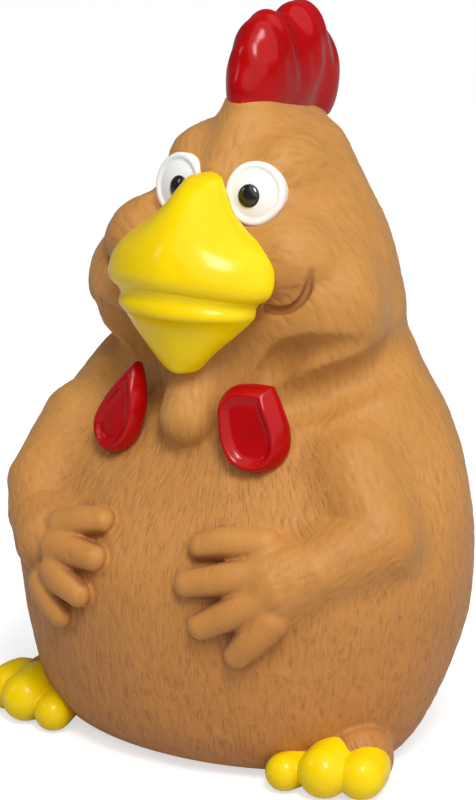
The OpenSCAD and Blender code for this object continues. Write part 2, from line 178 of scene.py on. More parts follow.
class Clay:
    """Signed distances in millimetres on a grid, negative inside."""

    def __init__(self, low, high, step):
        self.low, self.step = np.array(low, np.float32), step
        count = np.ceil((np.array(high) - low) / step).astype(int) + 1
        self.axes = [(self.low[k] + step * np.arange(count[k])).astype(np.float32)
                     for k in range(3)]
        far_outside = 50
        self.field = np.full(count, far_outside, np.float32)

    def grid(self, low=None, high=None):
        """Slices of the grid between two corners, and the X, Y and Z values in them."""
        pick = []
        for k in range(3):
            a = 0 if low is None else int((low[k] - self.low[k]) / self.step) - 1
            b = None if high is None else int((high[k] - self.low[k]) / self.step) + 2
            pick.append(slice(max(a, 0), None if b is None else max(b, 0)))
        x, y, z = (self.axes[k][pick[k]] for k in range(3))
        return tuple(pick), x[:, None, None], y[None, :, None], z[None, None, :]

    def add(self, shape, k=2.0):
        """Joins a shape; k, the width of the blend, may be a function of place."""
        reach = WIDEST_BLEND if callable(k) else k
        pick, x, y, z = self.grid(shape.low - reach, shape.high + reach)
        old = self.field[pick]
        if old.size:
            width = k(x, y, z) if callable(k) else k
            self.field[pick] = smooth_min(old, shape.away(x, y, z), width)

    def pair(self, shape, k=2.0):
        """Joins a shape on both sides of the hen."""
        self.add(shape, k)
        self.add(mirrored(shape), k)

    def cut(self, shape, k=1.0):
        """Takes a shape away, with an edge rounded over k."""
        pick, x, y, z = self.grid(shape.low - k, shape.high + k)
        old = self.field[pick]
        if old.size:
            self.field[pick] = -smooth_min(-old, shape.away(x, y, z), k)

    def keep(self, away, k=1.0):
        """Keeps only what lies inside away(x, y, z)."""
        _, x, y, z = self.grid()
        self.field = -smooth_min(-self.field, -away(x, y, z), k)

    def furrow(self, path, r, k):
        """Carves a soft groove of radius r along x, y, z and depth, laid on the surface."""
        rows = smooth_path(path, 20)
        spots = rows[:, :3]
        for _ in range(8):
            spots = spots - np.clip(self.at(spots), -1, 1)[:, None] * self.normals(spots)
        deep = np.maximum(rows[:, 3:], 0.02)
        self.cut(tube(np.hstack([spots + self.normals(spots) * (r - deep),
                                 np.full((len(rows), 1), r)])), k)

    def level(self):
        """Makes the field measure millimetres near the surface."""
        slope = np.zeros_like(self.field)
        for k in range(3):
            slope += np.gradient(self.field, self.step, axis=k) ** 2
        self.field /= np.maximum(np.sqrt(slope), 0.25)

    def at(self, points):
        """The distances at some points, by trilinear lookup."""
        q = (points - self.low) / self.step
        top = np.array(self.field.shape) - 2
        i = np.clip(np.floor(q).astype(int), 0, top)
        u = q - i
        total = 0
        for dx, dy, dz in CORNERS:
            weight = (np.abs(1 - dx - u[:, 0]) * np.abs(1 - dy - u[:, 1])
                      * np.abs(1 - dz - u[:, 2]))
            total = total + weight * self.field[i[:, 0] + dx, i[:, 1] + dy, i[:, 2] + dz]
        return total

    def at_grid(self, x, y, z):
        """The distances at the places of another clay's grid."""
        shape = np.broadcast_shapes(x.shape, y.shape, z.shape)
        points = np.stack([np.broadcast_to(v, shape).ravel() for v in (x, y, z)], 1)
        return self.at(points).reshape(shape).astype(np.float32)

    def normals(self, points):
        """Outward directions at some points."""
        h = self.step * 0.7
        g = np.stack([self.at(points + h * step) - self.at(points - h * step)
                      for step in STEPS], 1)
        return g / np.maximum(np.linalg.norm(g, axis=1, keepdims=True), 1e-9)

    def front_of(self, x, z):
        """Where the surface lies along Y, seen from the front at x and z."""
        y = self.axes[1]
        field = self.at(np.stack([np.full(len(y), x), y, np.full(len(y), z)], 1))
        i = int(np.argmax(field < 0))
        return float(y[i - 1] + self.step * field[i - 1] / (field[i - 1] - field[i]))

    def net(self):
        """Vertices and quads of the surface, a vertex in each cell that it crosses."""
        inside = self.field < 0
        shape = np.array(inside.shape) - 1
        count = np.zeros(shape, np.int8)
        for dx, dy, dz in CORNERS:
            count += inside[dx:dx + shape[0], dy:dy + shape[1], dz:dz + shape[2]]
        active = (count > 0) & (count < len(CORNERS))
        cells = np.argwhere(active)
        index = np.full(shape, -1, np.int32)
        index[active] = np.arange(len(cells))
        return self.cell_points(cells), self.cell_quads(inside, index)

    def cell_points(self, cells):
        """Mean of the places where each cell's edges meet the surface."""
        total, hits = np.zeros((len(cells), 3)), np.zeros(len(cells))
        for axis in range(3):
            for a, b in ((0, 0), (0, 1), (1, 0), (1, 1)):
                offset = a * STEPS[(axis + 1) % 3] + b * STEPS[(axis + 2) % 3]
                start = cells + offset
                f0 = self.field[tuple(start.T)]
                f1 = self.field[tuple((start + STEPS[axis]).T)]
                hit = (f0 < 0) != (f1 < 0)
                t = np.where(hit, f0 / np.where(hit, f0 - f1, 1), 0)
                total += hit[:, None] * (offset + t[:, None] * STEPS[axis])
                hits += hit
        return self.low + self.step * (cells + total / hits[:, None])

    def cell_quads(self, inside, index):
        """A quad round each edge of the grid that the surface crosses, facing outwards."""
        quads = []
        for axis in range(3):
            b, c = STEPS[(axis + 1) % 3], STEPS[(axis + 2) % 3]
            order = np.argsort([axis] + [k for k in range(3) if k != axis])
            low = np.moveaxis(inside, axis, 0)[:-1]
            high = np.moveaxis(inside, axis, 0)[1:]
            for leaving, change in ((True, low & ~high), (False, ~low & high)):
                edges = np.argwhere(change)[:, order]
                whole = (edges >= 1 - STEPS[axis]).all(1) & (edges < index.shape).all(1)
                edges = edges[whole]
                ring = [index[tuple((edges - s).T)] for s in (np.zeros(3, int), b, b + c, c)]
                quads.append(np.stack(ring if leaving else ring[::-1], 1))
        quads = np.vstack(quads)
        return quads[(quads >= 0).all(1)]

    def surface(self, rounds=2):
        """The net, evened out and laid back on the surface."""
        points, quads = self.net()
        a = quads.ravel()
        b = np.roll(quads, -1, 1).ravel()
        ends, others = np.concatenate([a, b]), np.concatenate([b, a])
        number = np.bincount(ends, minlength=len(points))[:, None]
        for _ in range(rounds):
            mean = np.stack([np.bincount(ends, points[others, k], len(points))
                             for k in range(3)], 1) / number
            points = points * 0.4 + mean * 0.6
            for _ in range(2):
                move = np.clip(self.at(points), -self.step, self.step)[:, None]
                points = points - move * self.normals(points)
        return points, quads


def make_mesh(name, points, quads, material, values=None, ends=()):
    """A smooth mesh object from millimetres, with values stored at its vertices."""
    mesh = bpy.data.meshes.new(name)
    mesh.from_pydata((points * MM).tolist(), [], quads.tolist() + list(ends))
    for key, numbers in (values or {}).items():
        mesh.attributes.new(key, "FLOAT", "POINT").data.foreach_set(
            "value", np.asarray(numbers, np.float32))
    mesh.shade_smooth()
    mesh.materials.append(material)
    piece = bpy.data.objects.new(name, mesh)
    bpy.context.collection.objects.link(piece)
    return piece


def ease(value, low, high):
    """0 at low and 1 at high, with a smooth rise between."""
    t = np.clip((value - low) / (high - low), 0, 1)
    return t * t * (3 - 2 * t)


def wobble(points, size, seed):
    """Smooth value between -1 and 1 that varies over about size millimetres."""
    draw = np.random.default_rng(seed)
    total = 0
    for _ in range(6):
        way = draw.normal(size=3)
        way /= np.linalg.norm(way)
        total = total + np.sin(points @ way * 2 * math.pi / (size * draw.uniform(0.7, 1.4))
                               + draw.uniform(0, 6.3))
    return total / 3.2


# ---- Forms ----

CHEEK = ellipsoid((20.2, -2.8, 91.8), (13.5, 11.5, 13.6))
PUFF = ellipsoid((15.8, -9.3, 102.2), (9.2, 8.2, 8.9))
BROW = ellipsoid((9.2, 1.4, 118.0), (7.1, 8.4, 7.1))
# Side distance, height and depth of the smile's crease
SMILE = [(15.0, 93.4, 1.2), (18.0, 93.3, 1.5), (20.6, 94.2, 1.5), (22.6, 96.2, 1.3),
         (23.8, 99.0, 1.0), (24.4, 102.0, 0.2)]
# Soft furrows under the jaw and round the neck: x, y, z and depth
JAW = [(13.2, -17.4, 76.8, 0.8), (16.4, -17.1, 79.6, 2.6), (19.8, -15.1, 83.2, 3.4),
       (24.2, -10.8, 86.4, 2.4), (27.8, -5.0, 88.6, 0.1)]
NECK = [(12.6, -17.0, 72.4, 0.8), (18.0, -15.0, 74.0, 2.8), (24.2, -11.4, 75.6, 3.6),
        (28.9, -7.0, 78.2, 3.2), (32.2, 1.2, 80.6, 2.4), (32.6, 10.0, 84.0, 1.0),
        (29.0, 20.0, 86.0, 0.2)]
# The bridge over the beak, the lobe under it, the legs' stubs and the comb's pedestal: x, y, z
# and radius
BRIDGE = [[0, 0.5, 122.0, 6.5], [0, -4.6, 115.6, 6.5]]
CHIN_LOBE = [[0, -10.2, 84, 7.0], [0, -14.8, 76, 6.8], [0, -19.6, 70.2, 5.9]]
LEFT_LEG = [[38.8, -18.0, 5.8, 7.2], [33.0, -9.0, 5.6, 7.2]]
RIGHT_LEG = [[-36.4, -18.5, 5.2, 6.4], [-32.0, -9.0, 5.2, 6.6]]
COMB_PEDESTAL = [[0, 4.0, 126.6, 5.1], [0, 19.4, 122.6, 5.0]]
# Middle, radii, lean and blend of the comb's root and three lobes
COMB_LOBES = [((0, 11.9, 131.0), (5.6, 14.4, 10.0), 0, 1.0),
              ((0, 7.6, 137.4), (5.9, 7.9, 10.8), -24, 3.0),
              ((0, 20.2, 138.2), (6.0, 8.3, 10.4), -16, 2.6),
              ((0, 27.0, 131.9), (5.4, 6.6, 10.4), -4, 2.4)]
# Root, middle and tip of each finger of the left and right hands: side distance and height
FINGERS = {
    1: [[(23.8, 50.4), (17.0, 50.2), (12.2, 49.2)], [(25.0, 45.6), (19.0, 44.3), (11.5, 42.7)],
        [(25.6, 41.0), (21.8, 38.6), (15.2, 35.0)], [(28.0, 37.0), (25.1, 33.6), (22.0, 29.8)]],
    -1: [[(21.5, 47.2), (16.5, 49.0), (11.9, 50.0)], [(21.8, 43.4), (17.6, 43.8), (11.0, 43.7)],
         [(20.8, 39.0), (18.0, 37.8), (13.8, 36.0)], [(24.4, 35.4), (22.4, 33.0), (19.4, 30.2)]]}
FINGER_R, FINGER_PROUD = (3.6, 3.4, 2.7), (4.8, 4.7, 3.9)


def arm_joints(side):
    """Balls of the shoulder, elbow, wrist and palm; the hen's right elbow is held closer."""
    elbow_x = 41.0 if side > 0 else 35.4
    rows = [on_front(32.5, 61.0, 9.5, 2.8), on_front(elbow_x, 50.5, 8.4, 5.2),
            on_front(33.0, 46.0, 6.6, 5.2), on_front(27.0, 43.0, 8.2, 5.4)]
    return np.array(rows) * [side, 1, 1, 1]


def finger_form(rows, side):
    """One finger, from its root, middle and tip."""
    balls = [on_front(x, z, r, proud)
             for (x, z), r, proud in zip(rows, FINGER_R, FINGER_PROUD)]
    return tube(smooth_path(np.array(balls) * [side, 1, 1, 1], 7))


arm_forms = {side: tube(arm_joints(side)) for side in (-1, 1)}
finger_forms = [finger_form(f, side) for side in (-1, 1) for f in FINGERS[side]]


# Degrees that the eyes' faces are turned about Z and tilted
EYE_TURN, EYE_TILT = 12, 12
EYE_MIDDLE = np.array([9.0, -9.4, 114.6])
# The eyes are a little taller than wide
EYE_TALL, EYE_TALL_SQUARED = 1.03, 1.06


def eye_axes():
    """Across, up and outward directions of the left eye."""
    spin, tip = math.radians(EYE_TURN), math.radians(90 - EYE_TILT)
    across = np.array([math.cos(spin), math.sin(spin), 0])
    raised = np.array([-math.sin(spin) * math.cos(tip), math.cos(spin) * math.cos(tip),
                       math.sin(tip)])
    return across, raised, np.cross(across, raised)


def eye_shape(side, r, low, high):
    """Cylinder on the eye's axis between two heights over the eye's middle."""
    axes = eye_axes()
    middle = EYE_MIDDLE * [side, 1, 1]

    def away(x, y, z):
        p = (side * (x - middle[0]), y - middle[1], z - middle[2])
        u, v, w = (sum(axis[k] * p[k] for k in range(3)) for axis in axes)
        round_wall = np.sqrt(u * u + v * v / EYE_TALL_SQUARED) - r
        return np.maximum(round_wall, np.maximum(low - w, w - high))

    return Shape(away, middle - high - r, middle + high + r)


def torso_field(clay):
    """Fills the clay with the torso and head, up to the comb's paint line."""
    _, x, y, z = clay.grid()
    # The hen's right flank is a little slimmer than its left
    slimmer = 0.022 * (x < 0) * ease(z, 66, 44)
    a = half_width(z) * (1 - slimmer)
    front, back = front_y(z), back_y(z)
    middle, depth = (front + back) / 2, (back - front) / 2
    share = np.sqrt((x / a) ** 2 + ((y - middle) / depth) ** 2)
    clay.field = ((share - 1) * np.minimum(a, depth)).astype(np.float32)
    clay.level()
    clay.keep(lambda x, y, z: z - comb_line(y) + 0.2, 3)


def comb_form(grow):
    """The comb's common root and three lobes, grown by some millimetres."""
    clay = Clay((-10, -8, 122), (10, 40, 154), PAINT_STEP)
    for middle, radii, lean, blend in COMB_LOBES:
        clay.add(ellipsoid(middle, np.array(radii) + grow, lean), blend)
    return clay


def comb_line(y):
    """Height of the comb's paint line, which falls towards the back."""
    return 129.9 - 0.2 * (y + 1.4)


def puff_blend(x, y, z):
    """Blend that is tight over the smile and wide towards the brow."""
    return 1.2 + 5 * ease(z, 97, 104)


def sculpt_head(clay):
    """Brows, cheeks, the bridge over the beak, the puffs and the lobe under the beak."""
    clay.pair(BROW, 5)
    clay.pair(CHEEK, 5)
    clay.add(tube(BRIDGE), 3.5)
    clay.pair(PUFF, puff_blend)
    clay.add(tube(smooth_path(CHIN_LOBE, 6)), 2.4)


def carve_face(clay):
    """The smile, the furrows of jaw and neck, and the eyes' sockets."""
    for side in (-1, 1):
        groove = [[side * gx, clay.front_of(side * gx, gz), gz, gd]
                  for gx, gz, gd in smooth_path(SMILE, 16)]
        clay.furrow(groove, 0.8, 0.5)
        clay.furrow(np.array(JAW) * [side, 1, 1, 1], 3.2, 1.6)
        clay.furrow(np.array(NECK) * [side, 1, 1, 1], 4.0, 2.6)
        clay.cut(eye_shape(side, EYE_R + SEAT_GAP, -0.1, 12), 0.8)


def add_limbs(clay):
    for form in arm_forms.values():
        clay.add(form, 3.5)
    for form in finger_forms:
        clay.add(form, 0.8)
    clay.add(tube(LEFT_LEG), 1.0)
    clay.add(tube(RIGHT_LEG), 1.0)


def add_tail(clay):
    """Three short feathers low on the back."""
    middle_z = HEAD_H * 0.36
    rear = float(back_y(middle_z))
    for side in (-1, 0, 1):
        root = [0, rear - 9, middle_z - 10, 9]
        tip = [side * 6, rear - abs(side), middle_z - 2 * abs(side), 4.8]
        clay.add(tube([root, tip]), 3)


def add_comb_root(clay):
    """The comb's pedestal, and the stretch of the comb just above its paint line."""
    clay.add(tube(COMB_PEDESTAL), 5)
    comb = comb_form(-0.15)

    def away(x, y, z):
        return np.maximum(comb.at_grid(x, y, z), z - comb_line(y) - 0.9)

    clay.add(Shape(away, np.array([-8, -4, 122]), np.array([8, 32, 132.5])), 2.0)


def pit(r, gap, top):
    """Round hole on the squeaker's axis, from below the base up to a height."""
    def away(x, y, z):
        return np.maximum(np.hypot(x, y - FRAME_Y) - r - gap, z - top)

    side = math.floor(r + gap) + 1
    return Shape(away, np.array([-side, -side, -3]), np.array([side, side, math.ceil(top + 0.5)]))


def sculpt_skin():
    clay = Clay((-55, -44, -2), (55, 44, 134), SKIN_STEP)
    torso_field(clay)
    sculpt_head(clay)
    carve_face(clay)
    add_limbs(clay)
    add_tail(clay)
    add_comb_root(clay)
    # Flat base with a soft edge, and the squeaker's pit
    clay.keep(lambda x, y, z: -z, 2.0)
    clay.cut(pit(FLANGE_R, 0.3, 2.1), 0.3)
    clay.cut(pit(CUP_R, SEAT_GAP, 14), 0.3)
    return clay


# ---- Moulded hair strokes ----

# Where the head's hair flows from, the beads that make up a stroke, and the bold strokes' depth
BEAK_MIDDLE = np.array([0, -22, 101])
BEADS = 9
BOLD_DEPTH = 0.28


def arm_distance(points):
    """Distance from the bare form of the nearer arm."""
    p = points[:, 0], points[:, 1], points[:, 2]
    return np.minimum(arm_forms[-1].away(*p), arm_forms[1].away(*p))


def arm_direction(points):
    """Direction of the nearest stretch of the left arm."""
    joints = arm_joints(1)[:, :3]
    best = np.full(len(points), 1e9)
    along = np.zeros_like(points)
    for a, b in zip(joints[:-1], joints[1:]):
        run = b - a
        t = np.clip((points - a) @ run / (run @ run), 0, 1)
        d = np.linalg.norm(points - a - t[:, None] * run, axis=1)
        closer = d < best
        best[closer] = d[closer]
        along[closer] = run / np.linalg.norm(run)
    return along


def flow(points):
    """Direction of the hair: down the body, out from the beak, along the arms."""
    side = np.sign(points[:, :1]) + (points[:, :1] == 0)
    p = points * np.hstack([side, np.ones_like(side), np.ones_like(side)])
    way = np.zeros_like(p)
    way[:, 2] = -1
    way[:, 0] = 0.16 * np.sin(p[:, 2] * 0.09 + 1)
    out = p - BEAK_MIDDLE
    far = np.linalg.norm(out, axis=1, keepdims=True)
    out /= far
    out[:, 2] -= 1.9 * ease(far, 18, 38)[:, 0]
    out[:, 2] += 0.9 * ease(p[:, 2], 104, 118)
    head = ease(p[:, 2], 78, 86)[:, None]
    way = way * (1 - head) + out * head
    near = ease(-arm_distance(points), -1.2, 0.6)[:, None]
    way = way * (1 - near) + arm_direction(p) * near
    way[:, :1] *= side
    return way


def smile_distance(points):
    """Distance from the smile's crease, seen from the front."""
    line = smooth_path(SMILE, 24)
    p = np.stack([np.abs(points[:, 0]), points[:, 2]], 1)
    near = np.full(len(p), 99.0)
    for a, b in zip(line[:-1], line[1:]):
        run = b[:2] - a[:2]
        t = np.clip((p - a[:2]) @ run / (run @ run), 0, 1)
        near = np.minimum(near, np.linalg.norm(p - a[:2] - t[:, None] * run, axis=1))
    return np.where(points[:, 1] < 0, near, 99)


def bare(points):
    """Where the skin has few strokes: fingers, next to the base and comb, round the smile."""
    p = points[:, 0], points[:, 1], points[:, 2]
    value = np.zeros(len(points))
    for form in finger_forms:
        value = np.maximum(value, ease(-form.away(*p), -1.0, 0.3))
    value = np.maximum(value, ease(-points[:, 2], -5, -2.5))
    value = np.maximum(value, ease(points[:, 2], 126, 129))
    return np.maximum(value, ease(smile_distance(points), 2.2, 0.8))


def scatter(points, spacing, draw):
    """Numbers of points drawn at random, one in each cell of this size."""
    taken, seeds = set(), []
    order = draw.permutation(len(points))
    cells = np.floor(points / spacing).astype(int)
    for i in order:
        key = (cells[i, 0], cells[i, 1], cells[i, 2])
        if key not in taken:
            taken.add(key)
            seeds.append(i)
    return np.array(seeds)


def bead_tree(spots, way, bend, reach):
    """Search tree of the beads of all strokes, from one end of the strokes to the other."""
    tree = KDTree(len(spots) * BEADS)
    for j, t in enumerate(np.linspace(-0.5, 0.5, BEADS)):
        line = spots + way * reach * t + bend * (reach * t) ** 2
        for i, bead in enumerate(line):
            tree.insert(bead, j * len(spots) + i)
    tree.balance()
    return tree


def stroke_pass(points, normals, spacing, length, width, depth, seed):
    """How deep each point lies in strokes of about this length, width and depth."""
    draw = np.random.default_rng(seed)
    seeds = scatter(points, spacing, draw)
    seeds = seeds[draw.random(len(seeds)) > bare(points[seeds]) * 1.1]
    spots, facing = points[seeds], normals[seeds]
    way = flow(spots) + 0.17 * draw.normal(size=spots.shape)
    way -= (way * facing).sum(1, keepdims=True) * facing
    way /= np.maximum(np.linalg.norm(way, axis=1, keepdims=True), 1e-6)
    bend = np.cross(facing, way) * draw.normal(size=(len(spots), 1)) * 0.05
    reach = length * draw.uniform(0.5, 1.3, (len(spots), 1))
    strength = depth * draw.uniform(0.35, 1.0, len(spots))
    tree = bead_tree(spots, way, bend, reach)
    dip = np.zeros(len(points))
    taper = 1 - np.abs(np.linspace(-1, 1, BEADS)) ** 2 * 0.75
    for i, point in enumerate(points):
        _, j, d = tree.find(point)
        if d < width:
            t = 1 - d / width
            dip[i] = strength[j % len(spots)] * taper[j // len(spots)] * t * t * (3 - 2 * t)
    return dip


def hair_strokes(points, normals):
    if not FINE:
        return np.zeros(len(points))
    fine = stroke_pass(points, normals, 1.6, 3.2, 0.5, 0.12, 11)
    bold = stroke_pass(points, normals, 2.9, 3.8, 0.6, BOLD_DEPTH, 12)
    return np.maximum(fine, bold)


# ---- Materials ----

class Nodes:
    """Short way to lay out a material's nodes, with places in millimetres."""

    def __init__(self, name):
        self.material = bpy.data.materials.new(name)
        self.material.use_nodes = True
        self.tree = self.material.node_tree
        self.shader = self.tree.nodes["Principled BSDF"]
        coords = self.tree.nodes.new("ShaderNodeTexCoord").outputs["Object"]
        self.place = self.put("ShaderNodeVectorMath", {0: coords, "Scale": 1 / MM},
                              operation="SCALE").outputs[0]

    def feed(self, socket, value):
        """Links a socket to another's output, or sets its value."""
        if isinstance(value, bpy.types.NodeSocket):
            self.tree.links.new(value, socket)
        else:
            socket.default_value = value

    def put(self, kind, inputs=None, **settings):
        node = self.tree.nodes.new(kind)
        for key, value in settings.items():
            setattr(node, key, value)
        for key, value in (inputs or {}).items():
            self.feed(node.inputs[key], value)
        return node

    def noise(self, scale, detail=2.0, rough=0.5, vector=None):
        return self.put("ShaderNodeTexNoise", {"Vector": vector or self.place, "Scale": scale,
                                               "Detail": detail, "Roughness": rough}
                        ).outputs["Fac"]

    def range(self, value, low, high, to_low=0.0, to_high=1.0):
        return self.put("ShaderNodeMapRange",
                        {"Value": value, "From Min": low, "From Max": high,
                         "To Min": to_low, "To Max": to_high}).outputs["Result"]

    def mix(self, factor, a, b):
        """Colour a, turning to colour b with the factor."""
        node = self.put("ShaderNodeMix", {0: factor, 6: a, 7: b}, data_type="RGBA")
        return node.outputs[2]

    def maths(self, operation, a, b):
        return self.put("ShaderNodeMath", {0: a, 1: b}, operation=operation).outputs[0]

    def attribute(self, name):
        return self.put("ShaderNodeAttribute", attribute_name=name).outputs["Fac"]

    def bump(self, height, distance_mm):
        node = self.put("ShaderNodeBump", {"Height": height, "Distance": distance_mm * MM,
                                           "Strength": 1.0})
        self.tree.links.new(node.outputs[0], self.shader.inputs["Normal"])

    def set(self, **values):
        """Sets the shader's inputs and gives back the material."""
        for key, value in values.items():
            self.feed(self.shader.inputs[key.replace("_", " ")], value)
        return self.material


def srgb(r, g, b):
    """Linear colour of an 8-bit one."""
    return tuple(((v / 255 + 0.055) / 1.055) ** 2.4 for v in (r, g, b)) + (1.0,)


def body_streaks(n, part):
    """Faint lines that run down the body, at equal angles round it."""
    turn = n.maths("ARCTAN2", part[0], n.maths("MULTIPLY", part[1], -1.0))
    lengthwise = n.put("ShaderNodeCombineXYZ", {
        0: n.maths("MULTIPLY", turn, 42.0), 1: n.maths("MULTIPLY", part[2], 0.17),
        2: n.maths("MULTIPLY", part[1], 0.05)}).outputs[0]
    line = n.range(n.noise(2.1, 2, 0.55, lengthwise), 0.55, 0.72)
    return n.maths("MULTIPLY", line, n.attribute("streaks"))


def rubber():
    """Matt brown latex with fine moulded streaks and specks, and painted shade in its folds,
    hollows, strokes and towards the feet.
    """
    n = Nodes("brown_latex")
    part = n.put("ShaderNodeSeparateXYZ", {0: n.place}).outputs
    mottle = n.range(n.noise(0.045, 3), 0.35, 0.65)
    # Painted shade: lower down, the skin turns redder and darker, as if lit from above
    low = n.range(part[2], 72.0, 4.0, 0.0, 0.85)
    fine = n.range(n.noise(1.6, 4, 0.6), 0.3, 0.7)
    speck = n.range(n.noise(3.2, 0), 0.80, 0.84)
    streak = body_streaks(n, part)
    colour = n.mix(mottle, srgb(187, 130, 62), srgb(198, 142, 72))
    # Painted shade: redder and darker towards the feet, darker in the strokes, the smile's crease
    # and the hollows; also darker along the streaks
    for factor, tint in ((low, srgb(183, 116, 57)),
                         (n.maths("MULTIPLY", fine, 0.35), srgb(181, 123, 58)),
                         (n.attribute("stroke_shade"), srgb(148, 90, 42)),
                         (n.attribute("smile_shade"), srgb(158, 88, 36)),
                         (n.maths("MULTIPLY", speck, 0.5), srgb(226, 176, 120)),
                         (n.maths("MULTIPLY", streak, 0.10), srgb(142, 86, 40)),
                         (n.attribute("hollow"), srgb(138, 78, 36))):
        colour = n.mix(factor, colour, tint)
    grain = n.maths("MULTIPLY", n.noise(3.5, 3, 0.6), 0.22)
    n.bump(n.maths("SUBTRACT", grain, streak), 0.14)
    rough = n.range(n.noise(0.3, 3), 0.3, 0.7, 0.46, 0.58)
    return n.set(Base_Color=colour, Roughness=rough, Specular_IOR_Level=0.25,
                 Sheen_Weight=0.08, Sheen_Roughness=0.5)


def paint(name, light, dark, rough, dimple=0.05, gloss=0.22):
    """Glossy brushed-on paint with slight dimples and specks."""
    n = Nodes(name)
    colour = n.mix(n.range(n.noise(0.09, 3), 0.35, 0.65), light, dark)
    speck = n.range(n.noise(1.7, 1), 0.77, 0.81)
    pale = tuple(min(1.0, 0.25 + v) for v in light[:3]) + (1.0,)
    colour = n.mix(n.maths("MULTIPLY", speck, 0.35), colour, pale)
    uneven = n.range(n.noise(0.5, 4), 0.3, 0.7, rough - 0.05, rough + 0.07)
    low = n.noise(0.35, 2)
    high = n.maths("MULTIPLY", n.noise(1.6, 3), 0.18)
    n.bump(n.maths("ADD", low, high), dimple)
    return n.set(Base_Color=colour, Roughness=uneven, Specular_IOR_Level=gloss,
                 Coat_Weight=0.05, Coat_Roughness=0.12)


def plastic(name, colour, see_through, rough):
    """Slightly mottled plastic that lets some light through."""
    n = Nodes(name)
    shade = n.mix(n.range(n.noise(0.25, 3), 0.3, 0.7), colour,
                  tuple(v * 0.9 for v in colour[:3]) + (1.0,))
    n.bump(n.noise(1.4, 3), 0.03)
    uneven = n.range(n.noise(0.8, 3), 0.3, 0.7, rough, rough + 0.1)
    return n.set(Base_Color=shade, Roughness=uneven, Transmission_Weight=see_through)


latex = rubber()
red = paint("red_gloss", srgb(176, 0, 8), srgb(160, 0, 6), 0.18, 0.03, 0.23)
yellow = paint("yellow_gloss", srgb(240, 206, 0), srgb(235, 199, 0), 0.2)
white = paint("white_gloss", srgb(243, 243, 241), srgb(238, 238, 236), 0.3)
black = paint("black_gloss", srgb(26, 23, 19), srgb(18, 16, 13), 0.12, 0.02, 0.8)

# ---- Skin ----


def skin_shading(clay, points, normals, dip, smooth, above):
    """Strengths that the rubber's colour reads: painted shade in hollows, in the smile's crease
    and in the strokes, and the streaks.
    """
    near = 3.5
    # Painted shade in hollows: darker where the skin closes in within 3.5 mm of a point
    hollow = 0.75 * ease(near - clay.at(points + near * normals), 0.6, 3.4)
    # Painted shade along the smile's crease
    smile_shade = 0.36 * ease(smile_distance(points), 0.7, 0.1)
    chest = 0.8 * ease(points[:, 2], 60, 74) + 0.2 * ease(points[:, 2], 76, 88)
    streaks = (1 - chest) * (1 - ease(-arm_distance(points), -1, 0.5))
    # The strokes' value is painted shade, darker with each stroke's depth
    return {"hollow": hollow * above, "smile_shade": smile_shade,
            "stroke_shade": np.clip(dip / BOLD_DEPTH, 0, 1) * 0.34,
            "streaks": streaks * (1 - smooth) * 0.9 + 0.1}


def build_skin():
    clay = sculpt_skin()
    points, quads = clay.surface()
    normals = clay.normals(points)
    smooth = bare(points)
    dip = hair_strokes(points, normals)
    bumps = 0.10 * wobble(points, 9, 3) + 0.05 * wobble(points, 4, 5)
    above = ease(points[:, 2], 0.6, 3.0)
    points = points + normals * ((bumps * (1 - smooth) - dip) * above)[:, None]
    values = skin_shading(clay, points, normals, dip, smooth, above)
    skin = make_mesh("hen_skin", points, quads, latex, values)
    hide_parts("skin")
    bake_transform(skin)


def above_paint_line(x, y, z):
    """Negative above the comb's brushed edge, which wanders a little."""
    wave = 0.22 * np.sin(0.7 * y + 2) * np.sin(0.4 * x) + 0.16 * np.sin(1.9 * y + x)
    return comb_line(y) + wave - z


def build_comb():
    clay = comb_form(0.0)
    clay.keep(above_paint_line, 0.5)
    points, quads = clay.surface(3)
    # Flutes run up the lobes and fade towards the paint line
    normals = clay.normals(points)
    fan = points[:, 1] + 0.2 * (points[:, 2] - 138)
    flute = 0.13 * np.sin(fan * 1.3) * ease(points[:, 2], 131, 137)
    points = points + normals * (flute + 0.03 * wobble(points, 8, 21))[:, None]
    comb = make_mesh("hen_comb", points, quads, red)
    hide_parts("comb")
    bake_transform(comb)


# ---- Beak ----

# Rows of height, half width, and front and middle of the beak's sections
BEAK_TOP = np.array([
    [89.0, 12.6, -27.0, -19.5], [92.0, 15.0, -28.6, -19.4], [94.0, 16.5, -29.6, -19.1],
    [96.0, 18.3, -30.3, -19.0], [98.0, 19.0, -30.8, -18.6], [100.0, 18.9, -30.9, -17.9],
    [102.0, 18.3, -30.5, -17.3], [104.0, 17.1, -29.8, -16.8], [106.0, 15.1, -28.8, -16.1],
    [108.0, 12.2, -27.4, -16.2], [110.0, 9.6, -25.6, -15.8], [112.0, 7.4, -23.6, -15.1],
    [114.0, 5.9, -21.6, -14.0], [116.0, 4.6, -19.2, -13.6], [117.2, 3.9, -17.2, -13.2],
    [117.9, 3.1, -15.8, -12.8], [118.4, 1.6, -14.6, -12.6]])
BEAK_LOW = np.array([
    [79.8, 1.4, -23.8, -21.5], [80.6, 3.4, -24.5, -21.8], [82.0, 5.0, -25.1, -22.0],
    [84.0, 6.9, -25.8, -22.0], [86.0, 9.0, -26.4, -21.6], [88.0, 11.2, -27.0, -20.9],
    [90.0, 13.2, -27.8, -20.1], [91.5, 14.6, -28.8, -19.6], [92.6, 15.6, -29.9, -19.4],
    [93.8, 16.4, -30.2, -19.2], [96.0, 17.0, -30.0, -19.0], [98.0, 17.0, -29.0, -18.8]])


